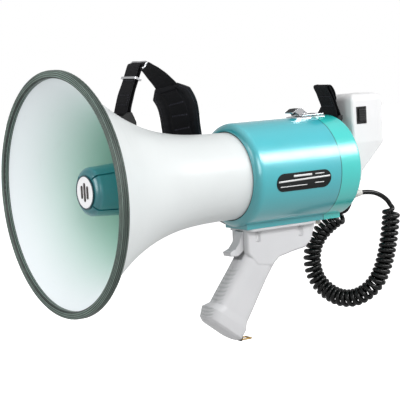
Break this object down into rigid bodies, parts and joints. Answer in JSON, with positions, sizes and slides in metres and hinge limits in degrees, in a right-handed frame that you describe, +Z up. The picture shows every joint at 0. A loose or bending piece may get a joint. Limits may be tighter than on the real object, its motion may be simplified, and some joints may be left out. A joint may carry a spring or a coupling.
{
  "type": "handheld megaphone",
  "caption": "Pistol-grip megaphone with a wide reflex horn, teal body, hinged latched rear cover, trigger, hand microphone on a curly cord and shoulder strap.",
  "frame": {"origin": "middle of the hand grip, where a hand holds it", "axes": "+Z up, -Y the way the horn's mouth faces, +X the side with the nameplate"},
  "size_m": [0.284, 0.4728, 0.3505],
  "materials": {
    "horn_white": "smooth, faintly green-white",
    "rim_rubber": "ribbed satin rubber",
    "teal_body": "glossy pearl teal",
    "teal_cover": "glossy pearl turquoise",
    "teal_reflector": "glossy pearl dark teal",
    "badge_white": "printed disc",
    "badge_dark": "dark ring",
    "grip_white": "fine satin texture",
    "mic_white": "satin",
    "black_plastic": "satin black",
    "label_black": "printed plate with silver lines",
    "chrome_plate": "bright plating",
    "steel_zinc": "zinc plated",
    "brass_wire": "tumbled brass",
    "hinge_beige": "satin",
    "gland_grey": "satin",
    "seal_rubber": "matt",
    "cord_black": "glossy",
    "web_black": "woven webbing",
    "pad_black": "woven pad cover",
    "ferrite": "ceramic grey",
    "board_green": "solder mask",
    "parts_dark": "mixed components",
    "cell_metal": "battery jackets",
    "film_amber": "diaphragm film",
    "inner_grey": "moulded grey"
  },
  "bodies": {
    "housing": {"horn_bell": "horn_white", "mouth_rim": "rim_rubber", "horn_reflector": "teal_reflector", "badge_disc": "badge_white", "badge_ring": "badge_dark", "throat_tube": "inner_grey", "throat_flange": "inner_grey", "driver_diaphragm": "film_amber", "driver_top_plate": "steel_zinc", "driver_magnet": "ferrite", "driver_yoke": "steel_zinc", "driver_can": "inner_grey", "body_shell": "teal_body", "neck_seal": "seal_rubber", "cover_gasket": "seal_rubber", "nameplate": "label_black", "hinge_body_leaf": "hinge_beige", "hinge_pin": "steel_zinc", "latch_base": "chrome_plate", "amplifier_board": "board_green", "amplifier_parts": "parts_dark", "bulkhead": "inner_grey", "battery_cassette": "black_plastic", "battery_cells": "cell_metal", "grip_left": "grip_white", "grip_right": "grip_white", "saddle_screws": "steel_zinc", "trigger_pin": "steel_zinc", "trigger_switch": "black_plastic", "lanyard_eye": "black_plastic", "front_strap_lug": "black_plastic", "strap_front_web": "web_black", "web_keeper": "chrome_plate", "shoulder_pad": "pad_black", "strap_side_web": "web_black"},
    "rear_cover": {"rear_cover": "teal_cover", "hinge_cover_leaf": "hinge_beige", "latch_keeper": "chrome_plate", "volume_pot": "steel_zinc", "cord_gland": "gland_grey", "rear_strap_lug": "black_plastic", "mic_holder": "black_plastic", "strap_rear_web": "web_black", "cord_tail_gland": "cord_black", "cord_curl": "cord_black", "cord_tail_mic": "cord_black"},
    "latch_lever": {"latch_lever": "chrome_plate"},
    "latch_bail": {"latch_bail": "chrome_plate"},
    "microphone": {"mic_front_case": "mic_white", "mic_rear_case": "mic_white", "mic_grille": "black_plastic", "mic_capsule": "steel_zinc", "mic_hanger_stud": "steel_zinc", "talk_bezel": "black_plastic", "talk_switch": "black_plastic", "mic_strain_relief": "cord_black"},
    "talk_button": {"talk_button": "black_plastic"},
    "trigger": {"trigger": "grip_white"},
    "volume_knob": {"volume_knob": "black_plastic"},
    "lanyard_ring": {"lanyard_ring": "brass_wire"}
  },
  "joints": [
    {"name": "rear_cover_hinge", "type": "hinge", "parent": "housing", "child": "rear_cover", "pos_m": [0, 0.1132, 0.0707], "axis": [-1, 0, 0], "range_deg": [0, 60]},
    {"name": "latch_lever_hinge", "type": "hinge", "parent": "housing", "child": "latch_lever", "pos_m": [0, 0.104, 0.208], "axis": [-1, 0, 0], "range_deg": [0, 120]},
    {"name": "latch_bail_hinge", "type": "hinge", "parent": "latch_lever", "child": "latch_bail", "pos_m": [0, 0.097, 0.2065], "axis": [1, 0, 0], "range_deg": [0, 240]},
    {"name": "microphone_lift", "type": "slide", "parent": "rear_cover", "child": "microphone", "axis": [0, 0, 1], "range_m": [0, 0.02]},
    {"name": "talk_button_press", "type": "slide", "parent": "microphone", "child": "talk_button", "axis": [-1, 0, 0], "range_m": [0, 0.0018], "stiffness_N_per_m": 600, "springref_m": -0.002},
    {"name": "trigger_pull", "type": "hinge", "parent": "housing", "child": "trigger", "pos_m": [0, 0.007, 0.0665], "axis": [1, 0, 0], "range_deg": [0, 8], "stiffness_Nm_per_rad": 0.6, "springref_deg": -5.73},
    {"name": "volume_turn", "type": "hinge", "parent": "rear_cover", "child": "volume_knob", "pos_m": [-0.038, 0.15, 0.148], "axis": [0, 1, 0], "range_deg": [0, 270]},
    {"name": "lanyard_swing", "type": "hinge", "parent": "housing", "child": "lanyard_ring", "pos_m": [0, -0.0085, -0.0626], "axis": [-1, 0, 0], "range_deg": [0, 100]}
  ],
  "couplings": [
    {"joint": "latch_lever_hinge", "follows": "rear_cover_hinge", "ratio": 2},
    {"joint": "latch_bail_hinge", "follows": "rear_cover_hinge", "ratio": 4}
  ]
}
